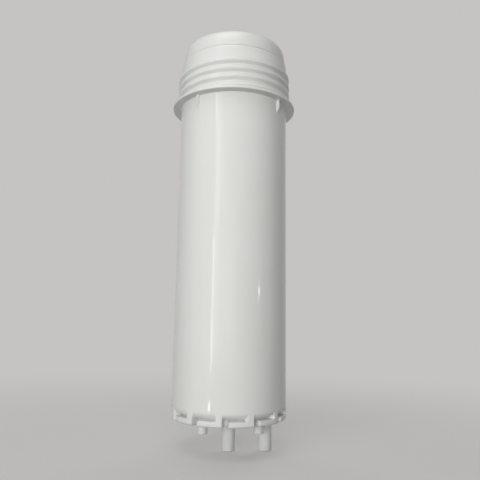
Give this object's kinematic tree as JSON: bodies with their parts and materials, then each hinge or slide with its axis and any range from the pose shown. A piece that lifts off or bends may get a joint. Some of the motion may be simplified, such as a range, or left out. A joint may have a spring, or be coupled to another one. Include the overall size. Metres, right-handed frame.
{
  "type": "water purifier membrane cartridge",
  "caption": "White moulded pressure housing with threaded mouth, collar, lug ring, pipe stems and locating pegs, with a wound reverse osmosis membrane element inside.",
  "frame": {"origin": "on the axis of the housing, level with the tips of the two stems", "axes": "+Z along the axis and out of the threaded mouth, +X through the side stem"},
  "size_m": [0.104, 0.104, 0.3295],
  "materials": {
    "housing_plastic": "white polypropylene, moulded, glossy",
    "tube_plastic": "white moulded plastic, satin",
    "membrane": "wound membrane and spacer sheets, ends trimmed flat",
    "wrap_tape": "smooth white adhesive tape",
    "cap_plastic": "white moulded plastic, satin",
    "seal_rubber": "black moulded rubber"
  },
  "bodies": {
    "root": {"housing_body": "housing_plastic", "permeate_tube": "tube_plastic", "membrane_roll": "membrane", "outer_wrap": "wrap_tape", "lower_end_cap": "cap_plastic", "upper_end_cap": "cap_plastic", "brine_seal": "seal_rubber", "lower_o_ring": "seal_rubber", "upper_o_ring": "seal_rubber"}
  },
  "joints": []
}
